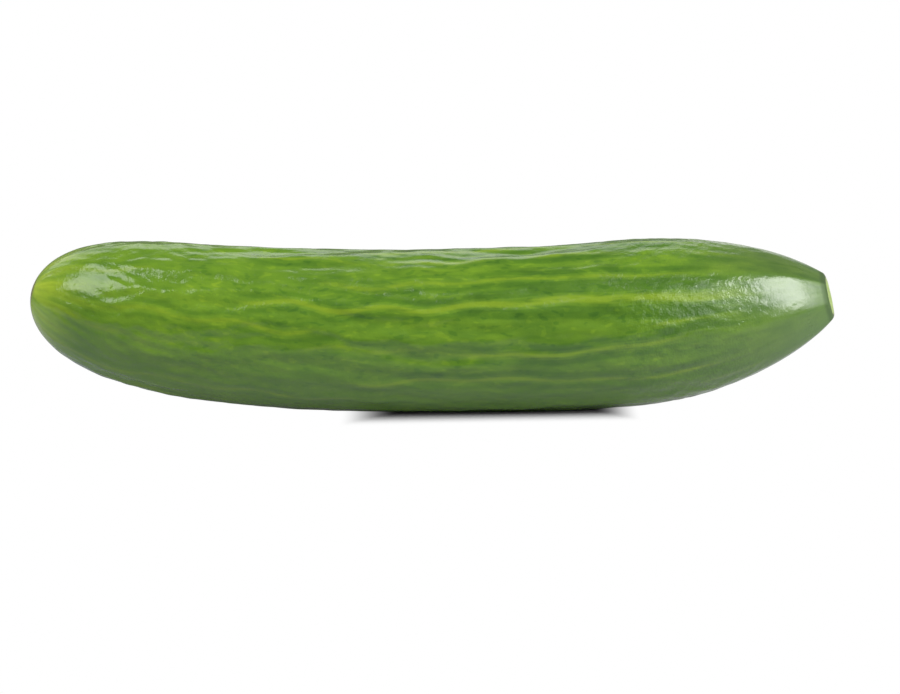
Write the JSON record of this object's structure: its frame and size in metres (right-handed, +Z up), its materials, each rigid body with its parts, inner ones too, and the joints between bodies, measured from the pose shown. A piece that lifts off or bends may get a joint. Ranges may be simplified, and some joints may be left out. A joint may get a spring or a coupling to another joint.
{
  "type": "cucumber",
  "caption": "Whole long green cucumber lying on its belly, gently bowed, blunt at the blossom end and tapering in ribs to a cut stem, for kitchen and market scenes.",
  "frame": {"origin": "on the surface that the fruit lies on, under the middle of its box", "axes": "+X along the fruit towards the cut stem end, +Z up from the surface, -Y the side shown in the picture"},
  "size_m": [0.2578, 0.0544, 0.0562],
  "materials": {
    "skin": "waxy fresh skin, satin to glossy, mid green with paler yellow-green streaks along the fruit"
  },
  "bodies": {
    "root": {"cucumber": "skin"}
  },
  "joints": []
}
